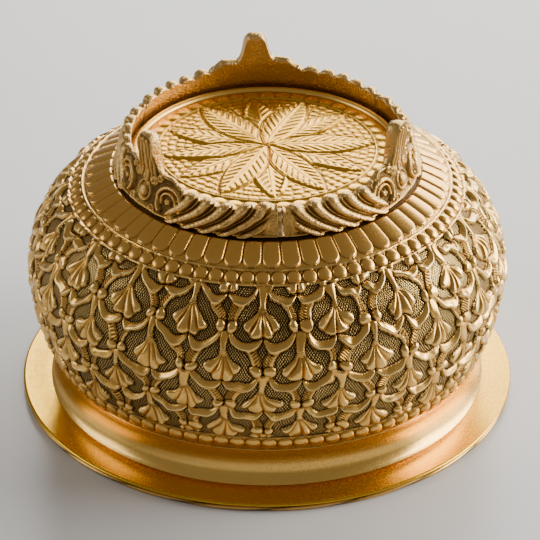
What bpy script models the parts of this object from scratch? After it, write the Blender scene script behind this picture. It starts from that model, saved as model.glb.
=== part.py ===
"""Brass urli bowl resting mouth down on its flared rim, foot ring upward.

Metres, +Z up, origin at the centre of the plane the rim rests on.
+Y is the side of the rear foot; the bowl is turned over about X for use.
"""
import math

import bpy
import bmesh

for old in list(bpy.data.objects):
    bpy.data.objects.remove(old, do_unlink=True)

# ---- driving dimensions (metres, degrees) ----
R = 0.105                 # flange outer radius
WALL = 0.0020             # raised sheet wall
GAP = 0.0003              # clearance left at every solder or brazed line
COLUMNS = 72              # facets round the turned parts

FLANGE_T = 0.0022         # flange sheet thickness
LIP_Z = 0.0036            # top of the flange lip
REST_IN, REST_OUT = 0.0935, 0.1012   # flat resting annulus under the flange
FLANGE_IN = 0.868 * R     # inner edge of the flange, under the neck ring
BEAD_R = 0.00085          # milled bead section radius
BEAD_TEETH = 66

NECK_TOP_R, NECK_TOP_Z = 0.862 * R, 0.192 * R
BODY_MAX_R, BODY_MID_Z = 0.945 * R, 0.555 * R
BODY_H_UP, BODY_H_DOWN = 0.59 * R, 0.90 * R
LINE2_Z, LINE1_Z = 0.879 * R, 0.915 * R

RING_BASE_R, RING_BASE_Z = 0.600 * R, 0.975 * R
DISC_R, DISC_Z = 0.4965 * R, 1.042 * R
BORDER_R, BORDER_RAD = 0.513 * R, 0.0012

SCALLOP_Z = 1.124 * R     # tops of the foot ring scallops
FOOT_Z = 1.285 * R        # tops of the three feet
RING_TOP_R = 0.563 * R    # outer radius of the scalloped edge
REAR_RISE = 0.0027        # rear half of the ring stands higher by this, front half lower
RING_T = 0.0030           # cast wall thickness
FEET = {"rear": 95.0, "left": 215.0, "right": 335.0}
SEGMENT = 120.0           # degrees from joint to joint
JOINT_HALF = 0.9          # half angle of a solder seam
SCALLOPS = 9              # scallops on a segment


def brass(name, rgb, rough):
    m = bpy.data.materials.new(name)
    m.use_nodes = True
    p = m.node_tree.nodes["Principled BSDF"]
    p.inputs["Base Color"].default_value = (*rgb, 1.0)
    p.inputs["Roughness"].default_value = rough
    p.inputs["Metallic"].default_value = 1.0
    return m


def finish(name, bm, mat):
    bmesh.ops.recalc_face_normals(bm, faces=bm.faces)
    me = bpy.data.meshes.new(name)
    bm.to_mesh(me)
    bm.free()
    me.materials.append(mat)
    ob = bpy.data.objects.new(name, me)
    bpy.context.scene.collection.objects.link(ob)
    return ob


def revolve(name, loop, mat, columns=COLUMNS, wave=None):
    """One closed ring from a closed (radius, z) loop; wave(i, column) scales a point outward."""
    bm = bmesh.new()
    rows = []
    for c in range(columns):
        a = math.tau * c / columns
        row = []
        for i, (r, z) in enumerate(loop):
            d = wave(i, c) if wave else 0.0
            row.append(bm.verts.new(((r + d) * math.cos(a), (r + d) * math.sin(a), z)))
        rows.append(row)
    n = len(loop)
    for c in range(columns):
        a, b = rows[c], rows[(c + 1) % columns]
        for i in range(n):
            j = (i + 1) % n
            bm.faces.new((a[i], b[i], b[j], a[j]))
    return finish(name, bm, mat)


def body_r(z):
    h = BODY_H_UP if z > BODY_MID_Z else BODY_H_DOWN
    return BODY_MAX_R * math.sqrt(max(0.0, 1.0 - ((z - BODY_MID_Z) / h) ** 2))


# ---- bowl_shell: raised body, open at the mouth and under the medallion ----
z0 = NECK_TOP_Z + GAP
outer = [(body_r(z0 + (LINE2_Z - z0) * k / 12), z0 + (LINE2_Z - z0) * k / 12) for k in range(13)]
ridge = 0.0006            # raised lines either side of the upper beads
outer[-1] = (outer[-1][0] + ridge, outer[-1][1])
outer += [(0.765 * R, 0.897 * R), (0.735 * R + ridge, LINE1_Z + ridge), (0.715 * R, 0.921 * R),
          (0.655 * R, 0.950 * R), (RING_BASE_R, RING_BASE_Z), (0.556 * R, 0.984 * R),
          (0.540 * R, 0.990 * R), (0.534 * R, 1.031 * R)]
inner = []
for k in range(len(outer) - 1):
    (ra, za), (rb, zb) = outer[max(k - 1, 0)], outer[min(k + 1, len(outer) - 1)]
    d = math.hypot(rb - ra, zb - za)
    if 12 < k < 15:
        continue
    inner.append((outer[k][0] - (zb - za) / d * WALL, outer[k][1] + (rb - ra) / d * WALL))
inner = inner[:-3]
inner += [(0.545 * R, 0.984 * R - WALL), (0.519 * R, 0.984 * R - 0.4 * WALL), (0.512 * R, 1.010 * R),
          (0.500 * R, 1.013 * R), (0.500 * R, 1.031 * R)]
bowl = revolve("bowl_shell", outer + inner[::-1], brass("brass_antique", (0.55, 0.36, 0.12), 0.32))

# ---- rim_flange: wide flat flange with a turned lip ----
flange_loop = [(REST_OUT, 0.0), (REST_OUT + 0.0006, 0.0019), (R - 0.0004, 0.0021), (R, 0.0028),
               (R - 0.0005, LIP_Z), (0.985 * R, LIP_Z + 0.0001), (0.93 * R, 0.0039), (0.884 * R, 0.0041),
               (FLANGE_IN, 0.0042), (FLANGE_IN, 0.0042 - FLANGE_T), (REST_IN - 0.0004, 0.0016), (REST_IN, 0.0)]
revolve("rim_flange", flange_loop, brass("brass_polished", (0.78, 0.50, 0.17), 0.22))

# ---- neck_ring: turned cove standing on the flange ----
neck_out = [(0.884 * R, 0.0042 + GAP), (0.872 * R, 0.0056), (0.859 * R, 0.0082), (0.851 * R, 0.0114),
            (0.850 * R, 0.0146), (0.855 * R, 0.0176), (NECK_TOP_R, NECK_TOP_Z)]
neck_in = [(NECK_TOP_R - WALL, NECK_TOP_Z), (0.855 * R - WALL, 0.0178), (0.850 * R - WALL, 0.0146),
           (0.851 * R - WALL, 0.0110), (0.857 * R - WALL, 0.0078), (0.868 * R - WALL, 0.0042 + GAP)]
revolve("neck_ring", neck_out + neck_in, brass("brass_neck", (0.76, 0.48, 0.16), 0.24))

# ---- rim_bead: milled bead let in below the lip ----
bead_loop = []
for k in range(8):
    a = math.tau * k / 8 + math.pi / 8
    bead_loop.append((R - 0.0012 + BEAD_R * math.cos(a), BEAD_R * 0.93 + BEAD_R * math.sin(a)))
low = min(z for _, z in bead_loop)
bead_loop = [(r, z - low) for r, z in bead_loop]
bead = revolve("rim_bead", bead_loop, brass("brass_bead", (0.62, 0.40, 0.14), 0.30), BEAD_TEETH * 2,
               lambda i, c: 0.00022 if (c % 2 and i in (0, 1, 6, 7)) else 0.0)

# ---- base_medallion: leaf-embossed disc closing the bottom ----
LEAVES = 10
disc = bmesh.new()
top_rows = []
radii = [0.06, 0.20, 0.36, 0.52, 0.68, 0.80, 0.863, 0.93, 1.0]
for q in radii:
    row = []
    for c in range(LEAVES * 6):
        a = math.tau * c / (LEAVES * 6)
        leaf = 0.0009 * abs(math.cos(LEAVES * a / 2)) * math.sin(math.pi * min(q / 0.84, 1.0))
        z = DISC_Z + leaf + (0.0005 if q == 0.93 else 0.0)
        row.append(disc.verts.new((DISC_R * q * math.cos(a), DISC_R * q * math.sin(a), z)))
    top_rows.append(row)
low_row = [disc.verts.new((v.co.x, v.co.y, DISC_Z - 0.0018)) for v in top_rows[-1]]
m = LEAVES * 6
for a, b in zip(top_rows + [], top_rows[1:] + [low_row]):
    for c in range(m):
        d = (c + 1) % m
        disc.faces.new((a[c], b[c], b[d], a[d]))
disc.faces.new(top_rows[0])
disc.faces.new(low_row[::-1])
finish("base_medallion", disc, brass("brass_medallion", (0.72, 0.48, 0.19), 0.34))

# ---- medallion_border: plain half-round wire over the seam ----
wire = []
for k in range(9):
    a = math.pi * k / 8
    wire.append((BORDER_R + BORDER_RAD * 1.15 * math.cos(a), DISC_Z - 0.0020 + 0.0012 + BORDER_RAD * 1.35 * math.sin(a)))
revolve("medallion_border", wire, brass("brass_border", (0.72, 0.47, 0.18), 0.28), 60)


# ---- foot ring: three cast segments, each with one foot ----
def edge_z(t, azimuth):
    """Height of the segment's upper edge at t degrees from its foot; the ring stands a little taller at the rear."""
    half = SEGMENT / 2 - JOINT_HALF
    if abs(t) <= 3.2:
        return FOOT_Z
    scallop = SCALLOP_Z - 0.0016 * abs(math.sin(math.pi * SCALLOPS * (t + half) / (2 * half)))
    shoulder = 0.0035 * math.exp(-((abs(t) - 19.0) / 4.5) ** 2)
    side = max(0.0, 1.0 - (abs(t) - 3.2) / 9.0)
    foot = (FOOT_Z - SCALLOP_Z) * (side ** 1.6)
    rise = REAR_RISE * math.sin(math.radians(azimuth + t)) * (1.0 - side)
    return scallop + rise + max(shoulder, foot)


def segment(name, azimuth, mat):
    half = SEGMENT / 2 - JOINT_HALF
    ts = [-3.2, 3.2, 0.0]
    ts += [s * v for s in (-1, 1) for v in (5.0, 7.5, 10.5, 14.0, 16.5, 19.0, 22.0)]
    ts += [s * (25.0 + (half - 25.0) * k / 8) for s in (-1, 1) for k in range(9)]
    ts.sort()
    bm = bmesh.new()
    rows = []
    for t in ts:
        a = math.radians(azimuth + t)
        zt = edge_z(t, azimuth)
        lean = 0.0012 * max(0.0, 1.0 - abs(t) / 14.0)
        top = RING_TOP_R + lean
        zb = RING_BASE_Z + 0.0024
        pts = [(RING_BASE_R, RING_BASE_Z + GAP), (RING_BASE_R + 0.0004, zb),
               (RING_BASE_R - 0.0016, zb + 0.0020), (0.5 * (RING_BASE_R + top) - 0.0004, 0.5 * (zb + zt)),
               (top, zt), (top - RING_T, zt), (0.5 * (RING_BASE_R + top) - RING_T - 0.0008, 0.5 * (zb + zt)),
               (RING_BASE_R - RING_T - 0.0010, RING_BASE_Z + GAP + 0.0008)]
        rows.append([bm.verts.new((r * math.cos(a), r * math.sin(a), z)) for r, z in pts])
    n = len(rows[0])
    for a, b in zip(rows, rows[1:]):
        for i in range(n):
            j = (i + 1) % n
            bm.faces.new((a[i], b[i], b[j], a[j]))
    bm.faces.new(rows[0])
    bm.faces.new(rows[-1][::-1])
    finish(name, bm, mat)


for key, azimuth in FEET.items():
    segment("foot_segment_" + key, azimuth, brass("brass_cast_" + key, (0.46, 0.33, 0.15), 0.42))


# ---- solder seams between the segments ----
def solder(name, azimuth):
    half = JOINT_HALF - math.degrees(GAP / RING_BASE_R)
    zt = SCALLOP_Z - 0.0022 + REAR_RISE * math.sin(math.radians(azimuth))
    bm = bmesh.new()
    rows = []
    for s in (-1.0, 1.0):
        a = math.radians(azimuth + s * half)
        pts = [(RING_BASE_R - 0.0002, RING_BASE_Z + 0.0007), (RING_BASE_R - 0.0016, 0.5 * (RING_BASE_Z + zt)),
               (RING_TOP_R - 0.0002, zt), (RING_TOP_R - RING_T + 0.0004, zt),
               (RING_BASE_R - RING_T, RING_BASE_Z + 0.0013)]
        rows.append([bm.verts.new((r * math.cos(a), r * math.sin(a), z)) for r, z in pts])
    for i in range(5):
        j = (i + 1) % 5
        bm.faces.new((rows[0][i], rows[1][i], rows[1][j], rows[0][j]))
    bm.faces.new(rows[0][::-1])
    bm.faces.new(rows[1])
    m = brass("solder_" + name, (0.50, 0.48, 0.43), 0.45)
    finish(name, bm, m)


solder("solder_joint_front", 275.0)
solder("solder_joint_rear_left", 155.0)
solder("solder_joint_rear_right", 35.0)
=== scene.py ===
import math

import bpy
import numpy as np
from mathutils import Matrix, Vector


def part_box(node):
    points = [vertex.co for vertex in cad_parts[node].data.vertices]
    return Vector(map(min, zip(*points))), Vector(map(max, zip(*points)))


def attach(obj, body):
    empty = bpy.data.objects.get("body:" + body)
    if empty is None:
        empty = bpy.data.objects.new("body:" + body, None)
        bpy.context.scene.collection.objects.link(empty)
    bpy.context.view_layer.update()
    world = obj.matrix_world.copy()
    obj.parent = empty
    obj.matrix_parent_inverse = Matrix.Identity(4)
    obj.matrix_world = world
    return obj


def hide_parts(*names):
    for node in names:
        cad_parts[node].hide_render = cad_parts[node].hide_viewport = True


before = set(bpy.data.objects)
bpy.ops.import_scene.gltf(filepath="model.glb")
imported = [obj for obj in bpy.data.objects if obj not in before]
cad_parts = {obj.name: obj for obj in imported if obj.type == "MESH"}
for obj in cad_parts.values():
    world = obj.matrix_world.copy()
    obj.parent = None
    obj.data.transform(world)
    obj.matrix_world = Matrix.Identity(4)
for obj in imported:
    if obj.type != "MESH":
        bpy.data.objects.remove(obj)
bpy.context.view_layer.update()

# ---- The stand: a pale stone slab with soft daylight from the right and rear ----
# The bowl rests mouth down on it, so it also fills the brass with pale reflections.
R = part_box("rim_flange")[1][0]        # outer radius of the rim, the measure for everything turned


def only(obj):
    """Leave one object selected and active."""
    bpy.ops.object.select_all(action="DESELECT")
    obj.select_set(True)
    bpy.context.view_layer.objects.active = obj
    return obj


def node(tree, kind, x, y, **settings):
    """A shader node placed at x, y in its tree."""
    made = tree.nodes.new(kind)
    made.location = (x, y)
    for key, value in settings.items():
        setattr(made, key, value)
    return made


bpy.ops.object.select_all(action="DESELECT")
bpy.ops.mesh.primitive_plane_add(size=6.0, location=(0.0, 0.0, 0.0))
slab = bpy.context.object
slab.name = "stone_slab"
slab.data.transform(slab.matrix_world)
slab.matrix_world.identity()
stone = bpy.data.materials.new("pale_stone")
stone.use_nodes = True
t = stone.node_tree
skin = t.nodes["Principled BSDF"]
place = node(t, "ShaderNodeTexCoord", -900, 0)
cloud = node(t, "ShaderNodeTexNoise", -700, 0)
cloud.inputs["Scale"].default_value = 6.0
cloud.inputs["Detail"].default_value = 5.0
ramp = node(t, "ShaderNodeValToRGB", -480, 0)
ramp.color_ramp.elements[0].color = (0.70, 0.71, 0.72, 1.0)
ramp.color_ramp.elements[1].color = (0.80, 0.80, 0.80, 1.0)
t.links.new(place.outputs["Object"], cloud.inputs["Vector"])
t.links.new(cloud.outputs["Fac"], ramp.inputs["Fac"])
t.links.new(ramp.outputs["Color"], skin.inputs["Base Color"])
skin.inputs["Roughness"].default_value = 0.32
slab.data.materials.append(stone)

camera_data = bpy.data.cameras.new("view")
camera_data.sensor_width = 36.0
camera_data.lens = 193.87
camera_data.shift_x = 0.0055
camera_data.clip_end = 20.0
camera = bpy.data.objects.new("view", camera_data)
camera.location = (0.0, -10.13 * R, 6.431 * R)
camera.rotation_euler = (math.pi / 2 - 0.5306, 0.0, 0.0)
bpy.context.scene.collection.objects.link(camera)
bpy.context.scene.camera = camera

world = bpy.data.worlds.new("room")
bpy.context.scene.world = world
world.use_nodes = True
sky = world.node_tree.nodes["Background"]
sky.inputs["Color"].default_value = (0.98, 0.90, 0.80, 1.0)
sky.inputs["Strength"].default_value = 0.22


def softbox(name, where, aim, size, power, tint):
    """A window or card of light at one place, turned towards another."""
    data = bpy.data.lights.new(name, "AREA")
    data.shape = "RECTANGLE"
    data.size, data.size_y = size
    data.energy = power
    data.color = tint
    lamp = bpy.data.objects.new(name, data)
    bpy.context.scene.collection.objects.link(lamp)
    lamp.location = where
    lamp.rotation_euler = (Vector(aim) - Vector(where)).to_track_quat("-Z", "Y").to_euler()
    return lamp


softbox("rear_window", (0.72, 2.3, 1.10), (0.0, 0.0, 0.05), (2.6, 1.5), 80.0, (1.0, 0.98, 0.95))
softbox("right_window", (2.3, 0.50, 0.95), (0.0, 0.0, 0.05), (2.0, 1.5), 105.0, (1.0, 0.97, 0.93))
softbox("left_card", (-2.0, 0.1, 0.9), (0.0, 0.0, 0.06), (1.2, 1.0), 10.0, (1.0, 0.98, 0.95))

# ---- Rim flange: the wide lip that the bowl rests on here ----
# Spun from heavy brass sheet on the lathe, then filed and satin polished. Its edge
# is rounded over, and a flat ring under it meets the ground.
TURN_STEPS = 288                       # steps once round for the large turned pieces


def turned(name, section, steps):
    """Spin a closed section of (radius, height) points once round, as on the lathe."""
    bpy.ops.object.select_all(action="DESELECT")
    bpy.ops.mesh.primitive_circle_add(vertices=len(section), radius=0.001)
    ring = bpy.context.object
    ring.name = name
    ring.data.name = name
    flat = [(r, 0.0, z) for r, z in section]
    ring.data.vertices.foreach_set("co", np.array(flat, dtype=np.float32).ravel())
    bpy.ops.object.mode_set(mode="EDIT")
    bpy.ops.mesh.select_all(action="SELECT")
    bpy.ops.mesh.spin(steps=steps, angle=math.tau, center=(0, 0, 0), axis=(0, 0, 1))
    bpy.ops.mesh.select_all(action="SELECT")
    bpy.ops.mesh.remove_doubles(threshold=2e-6)
    bpy.ops.mesh.normals_make_consistent(inside=False)
    bpy.ops.object.mode_set(mode="OBJECT")
    bpy.ops.object.shade_smooth()
    return ring


def flowing(points, count, closed=False):
    """A smooth curve of count points through the given ones."""
    p = np.array(points, dtype=float)
    if closed:
        p = np.vstack([p[-1], p, p[0], p[1]])
    else:
        p = np.vstack([2 * p[0] - p[1], p, 2 * p[-1] - p[-2]])
    spans = len(p) - 3
    u = np.linspace(0, spans, count, endpoint=not closed)
    k = np.minimum(u.astype(int), spans - 1)
    f = (u - k)[:, None]
    a, b, c, d = p[k], p[k + 1], p[k + 2], p[k + 3]
    square, cube = 2 * a - 5 * b + 4 * c - d, 3 * b - a - 3 * c + d
    return 0.5 * (2 * b + (c - a) * f + square * f ** 2 + cube * f ** 3)


def own(group, name, kind, value=None, out=False):
    """A named socket of a node group."""
    made = group.interface.new_socket(name, in_out="OUTPUT" if out else "INPUT", socket_type=kind)
    if value is not None:
        made.default_value = value
    return made


def feed(tree, sockets, values):
    """Give each socket its value, or a link where the value is another node's output."""
    for socket, value in zip(sockets, values):
        if hasattr(value, "is_output"):
            tree.links.new(value, socket)
        else:
            socket.default_value = value


def mix_colour(tree, x, y, fac, a, b, blend="MIX"):
    """Colour a blended with colour b."""
    made = node(tree, "ShaderNodeMix", x, y, data_type="RGBA", blend_type=blend)
    feed(tree, (made.inputs[0], made.inputs[6], made.inputs[7]), (fac, a, b))
    return made.outputs[2]


def sum_of(tree, x, y, operation, *values, clamp=False):
    """One step of arithmetic."""
    made = node(tree, "ShaderNodeMath", x, y, operation=operation, use_clamp=clamp)
    feed(tree, made.inputs, values)
    return made.outputs[0]


def noise(tree, x, y, scale, detail, **settings):
    """A noise texture in the piece's own coordinates."""
    made = node(tree, "ShaderNodeTexNoise", x, y, **settings)
    made.inputs["Detail"].default_value = detail
    at = node(tree, "ShaderNodeTexCoord", x - 200, y)
    tree.links.new(at.outputs["Object"], made.inputs["Vector"])
    feed(tree, (made.inputs["Scale"],), (scale,))
    return made


# fine rings the tool leaves on turned brass, as a height, with the odd polishing streak
lathe = bpy.data.node_groups.new("lathe_rings", "ShaderNodeTree")
own(lathe, "Fineness", "NodeSocketFloat", 2600.0)
own(lathe, "Rings", "NodeSocketFloat", out=True)
own(lathe, "Streaks", "NodeSocketFloat", out=True)
given = node(lathe, "NodeGroupInput", -1100, 0)
result = node(lathe, "NodeGroupOutput", 500, 0)
at = node(lathe, "ShaderNodeTexCoord", -1100, -250)
parts = node(lathe, "ShaderNodeSeparateXYZ", -900, -250)
lathe.links.new(at.outputs["Object"], parts.inputs[0])
xx = sum_of(lathe, -720, -150, "MULTIPLY", parts.outputs[0], parts.outputs[0])
yy = sum_of(lathe, -720, -320, "MULTIPLY", parts.outputs[1], parts.outputs[1])
radius = sum_of(lathe, -560, -220, "SQRT", sum_of(lathe, -640, -220, "ADD", xx, yy))
run = sum_of(lathe, -420, -220, "SUBTRACT", radius, parts.outputs[2])
fine = node(lathe, "ShaderNodeTexNoise", -200, 0, noise_dimensions="1D")
lathe.links.new(run, fine.inputs["W"])
lathe.links.new(given.outputs["Fineness"], fine.inputs["Scale"])
fine.inputs["Detail"].default_value = 3.0
lathe.links.new(fine.outputs["Fac"], result.inputs["Rings"])
join = node(lathe, "ShaderNodeCombineXYZ", -200, -300)
turn = sum_of(lathe, -420, -420, "ARCTAN2", parts.outputs[1], parts.outputs[0])
lathe.links.new(sum_of(lathe, -300, -420, "MULTIPLY", turn, 0.05), join.inputs[0])
lathe.links.new(sum_of(lathe, -300, -560, "MULTIPLY", run, 9.0), join.inputs[1])
streak = node(lathe, "ShaderNodeTexNoise", 0, -300)
streak.inputs["Scale"].default_value = 60.0
streak.inputs["Detail"].default_value = 4.0
lathe.links.new(join.outputs[0], streak.inputs["Vector"])
lathe.links.new(streak.outputs["Fac"], result.inputs["Streaks"])

# brass as the maker leaves it: base colour, brown tarnish kept in the recesses, bright worn crests; on the
# body the recess input also brings painted shade along the foot ring, in the tarnish colour
antique = bpy.data.node_groups.new("antique_brass", "ShaderNodeTree")
own(antique, "Recess", "NodeSocketFloat", 0.0)
own(antique, "Worn", "NodeSocketFloat", 0.0)
own(antique, "Brass", "NodeSocketColor", (0.6, 0.4, 0.16, 1.0))
own(antique, "Tarnish", "NodeSocketColor", (0.06, 0.035, 0.012, 1.0))
own(antique, "Bright", "NodeSocketColor", (0.9, 0.7, 0.35, 1.0))
own(antique, "Mottle", "NodeSocketFloat", 40.0)
own(antique, "Low gloss", "NodeSocketFloat", 0.3)
own(antique, "Colour", "NodeSocketColor", out=True)
own(antique, "Roughness", "NodeSocketFloat", out=True)
given = node(antique, "NodeGroupInput", -900, 0)
result = node(antique, "NodeGroupOutput", 700, 0)
wide = noise(antique, -700, -200, given.outputs["Mottle"], 4.0)
close = noise(antique, -700, -450, 900.0, 2.0)
patches = sum_of(antique, -500, -200, "SUBTRACT", wide.outputs["Fac"], 0.5)
specks = sum_of(antique, -500, -450, "SUBTRACT", close.outputs["Fac"], 0.5)
patches = sum_of(antique, -400, -300, "MULTIPLY", patches, 0.5)
low = sum_of(antique, -330, 0, "ADD", given.outputs["Recess"], patches)
low = sum_of(antique, -180, 0, "ADD", low, sum_of(antique, -250, -400, "MULTIPLY", specks, 0.25), clamp=True)
base = mix_colour(antique, 0, 100, given.outputs["Worn"], given.outputs["Brass"], given.outputs["Bright"])
warmth = sum_of(antique, 50, -150, "MULTIPLY", wide.outputs["Fac"], 0.35)
warm = mix_colour(antique, 150, 0, warmth, base, (0.72, 0.36, 0.10, 1.0), "SOFT_LIGHT")
antique.links.new(mix_colour(antique, 350, 0, low, warm, given.outputs["Tarnish"]), result.inputs["Colour"])
rough = sum_of(antique, 350, -300, "MULTIPLY_ADD", low, 0.28, given.outputs["Low gloss"])
rough = sum_of(antique, 500, -300, "MULTIPLY_ADD", specks, 0.10, rough, clamp=True)
antique.links.new(rough, result.inputs["Roughness"])


def brass(name):
    """A bare metal material, with its tree and shader."""
    made = bpy.data.materials.new(name)
    made.use_nodes = True
    shader = made.node_tree.nodes["Principled BSDF"]
    shader.inputs["Metallic"].default_value = 1.0
    shader.location = (500, 0)
    made.node_tree.nodes["Material Output"].location = (800, 0)
    return made, made.node_tree, shader


def use_group(tree, group, x, y, **values):
    """A shared effect placed in a material, with its own values."""
    made = node(tree, "ShaderNodeGroup", x, y)
    made.node_tree = group
    for key, value in values.items():
        made.inputs[key.replace("_", " ")].default_value = value
    return made


def coated(tree, shader, brass_colour, tarnish, bright, gloss, mottle):
    """The antique coat, joined to the shader's colour and roughness."""
    coat = use_group(tree, antique, -200, 100, Brass=brass_colour, Tarnish=tarnish, Bright=bright,
                     Mottle=mottle, Low_gloss=gloss)
    tree.links.new(coat.outputs["Colour"], shader.inputs["Base Color"])
    tree.links.new(coat.outputs["Roughness"], shader.inputs["Roughness"])
    return coat


def raised(tree, shader, height, strength, distance):
    """A height that tilts the surface's light."""
    bump = node(tree, "ShaderNodeBump", 250, -350)
    bump.inputs["Strength"].default_value = strength
    bump.inputs["Distance"].default_value = distance
    tree.links.new(height, bump.inputs["Height"])
    tree.links.new(bump.outputs["Normal"], shader.inputs["Normal"])


def polished(name, brass_colour, bright, gloss, fineness, rings, streaks):
    """Turned brass, satin polished, with the rings and streaks of the lathe."""
    made, tree, shader = brass(name)
    cut = use_group(tree, lathe, -500, -200, Fineness=fineness)
    coat = coated(tree, shader, brass_colour, (0.30, 0.15, 0.03, 1.0), bright, gloss, 14.0)
    tree.links.new(sum_of(tree, -350, -50, "MULTIPLY", cut.outputs["Streaks"], 0.25), coat.inputs["Recess"])
    tree.links.new(sum_of(tree, -350, 150, "MULTIPLY", cut.outputs["Streaks"], 0.6), coat.inputs["Worn"])
    tall = sum_of(tree, 0, -300, "MULTIPLY_ADD", cut.outputs["Streaks"], streaks, cut.outputs["Rings"])
    raised(tree, shader, tall, rings, 0.0002)
    return made


flange_top = [(0.868, 0.0400), (0.900, 0.0392), (0.930, 0.0375), (0.960, 0.0360), (0.985, 0.0352),
              (0.9925, 0.0350), (0.9975, 0.0325), (1.0, 0.0285), (0.9985, 0.0235), (0.9935, 0.0205),
              (0.984, 0.0195), (0.974, 0.0180)]
flange_low = [(0.9690, 0.0120), (0.9655, 0.0030), (0.9638, 0.0), (0.9300, 0.0), (0.8905, 0.0),
              (0.8880, 0.0060), (0.8840, 0.0150), (0.8690, 0.0190)]
section = np.vstack([flowing(flange_top, 70), flowing(flange_low[:3], 8), flowing(flange_low[3:5], 4),
                     flowing(flange_low[5:], 10)]) * R
flange = turned("rim_flange_turned", section.tolist(), TURN_STEPS)
satin_flange = polished("satin_flange", brass_colour=(0.72, 0.41, 0.020, 1.0),
                        bright=(0.86, 0.56, 0.06, 1.0), gloss=0.22, fineness=2400.0, rings=0.05, streaks=0.3)
flange.data.materials.append(satin_flange)
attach(flange, "root")
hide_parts("rim_flange")

# ---- Neck ring: the waisted collar between the flange and the body ----
# Turned brass with a hollow outer face, satin polished like the flange and brazed
# to it below, with the body let in above.
neck_face = [(0.8835, 0.0432), (0.8800, 0.0460), (0.8720, 0.0540), (0.8640, 0.0660), (0.8570, 0.0800),
             (0.8520, 0.0960), (0.8490, 0.1130), (0.8485, 0.1310), (0.8500, 0.1490), (0.8540, 0.1660),
             (0.8590, 0.1800), (0.8635, 0.1890), (0.8650, 0.1925), (0.8630, 0.1950)]
neck_back = [(0.8450, 0.1945), (0.8380, 0.1800), (0.8320, 0.1600), (0.8295, 0.1310), (0.8300, 0.1080),
             (0.8340, 0.0880), (0.8400, 0.0700), (0.8490, 0.0540), (0.8600, 0.0430)]
section = np.vstack([flowing(neck_face, 84), flowing(neck_back, 36)]) * R
neck = turned("neck_ring_turned", section.tolist(), TURN_STEPS)
satin_neck = polished("satin_neck", brass_colour=(1.0, 0.60, 0.15, 1.0),
                      bright=(1.0, 0.72, 0.26, 1.0), gloss=0.21, fineness=2000.0, rings=0.06, streaks=0.3)
neck.data.materials.append(satin_neck)
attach(neck, "root")
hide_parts("neck_ring")

# ---- Bead under the lip of the flange ----
# A round brass wire let in under the lip and run over with a milling wheel. The torus
# has too few segments for the wheel's fine cuts, so they come out as long low waves.
CUTS = 236                             # cuts of the milling wheel round the bead
BEAD_STEPS = 256                       # the most that the torus operator gives
BEAD_R = 0.9885 * R
WIRE_R = 0.0088 * R
bpy.ops.object.select_all(action="DESELECT")
bpy.ops.mesh.primitive_torus_add(major_radius=BEAD_R, minor_radius=WIRE_R, major_segments=BEAD_STEPS,
                                 minor_segments=10, location=(0, 0, 0))
milled = bpy.context.object
milled.name = "rim_bead_milled"
co = np.empty(len(milled.data.vertices) * 3, dtype=np.float32)
milled.data.vertices.foreach_get("co", co)
co = co.reshape(-1, 3)
turn = np.arctan2(co[:, 1], co[:, 0])
out = np.hypot(co[:, 0], co[:, 1]) - BEAD_R
lean = np.arctan2(co[:, 2], out)
cut = np.abs(np.sin(0.5 * CUTS * turn + 0.55 * lean))
grow = 0.66 + 0.46 * cut ** 0.7 * (out > -0.3 * WIRE_R)
radius = BEAD_R + out * grow
co[:, 0], co[:, 1] = radius * np.cos(turn), radius * np.sin(turn)
co[:, 2] = co[:, 2] * grow
co[:, 2] -= co[:, 2].min()
milled.data.vertices.foreach_set("co", co.ravel())
mark = milled.data.attributes.new("recess", "FLOAT", "POINT")
mark.data.foreach_set("value", (0.95 * (1 - cut) ** 1.5).astype(np.float32))
only(milled)
bpy.ops.object.shade_smooth()
milled_brass, tree, shader = brass("milled_brass")
coat = coated(tree, shader, brass_colour=(0.78, 0.50, 0.17, 1.0), tarnish=(0.05, 0.03, 0.012, 1.0),
              bright=(0.95, 0.70, 0.30, 1.0), gloss=0.30, mottle=60.0)
cut_mark = node(tree, "ShaderNodeAttribute", -450, 0, attribute_name="recess")
tree.links.new(cut_mark.outputs["Fac"], coat.inputs["Recess"])
milled.data.materials.append(milled_brass)
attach(milled, "root")
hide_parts("rim_bead")

# ---- Raised body with its chased ornament ----
# One sheet raised to a globe and worked over pitch: a beaded edge, five half-drop
# rows of fan blossoms on a matted ground, a row of discs, and a gadrooned shoulder.
WALL = 0.019 * R                       # sheet thickness
LINE_LOW, LINE_HIGH = (0.781, 0.877), (0.729, 0.911)     # the two wires of the disc row
outline = [(0.862, 0.1955), (0.880, 0.235), (0.905, 0.312), (0.928, 0.400), (0.942, 0.490), (0.945, 0.555),
           (0.9395, 0.620), (0.918, 0.695), (0.882, 0.765), (0.835, 0.828), LINE_LOW, LINE_HIGH,
           (0.660, 0.9465), (0.600, 0.9725), (0.5755, 0.9805), (0.5635, 0.9870), (0.5580, 1.0020),
           (0.5560, 1.0200), (0.5510, 1.0300), (0.5400, 1.0335), (0.5180, 1.0340)]
FANS = 20                              # blossoms in each row
FIRST_FAN = math.radians(259.9)        # where the first one stands
SECTORS = 8                            # the sheet is built in eight equal stretches
COLS = 96 * FANS                       # columns of points round the whole body
UNIT = 1.0 / 1150.0                    # the chaser's drawing has 1150 units to the rim radius
line = flowing(outline, 4000)
steps = np.hypot(*np.diff(line, axis=0).T)
arc = np.concatenate([[0.0], np.cumsum(steps)])


def at_height(z):
    """Place along the outline, measured from the neck, at one height."""
    return np.interp(z, line[:, 1], arc)


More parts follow.
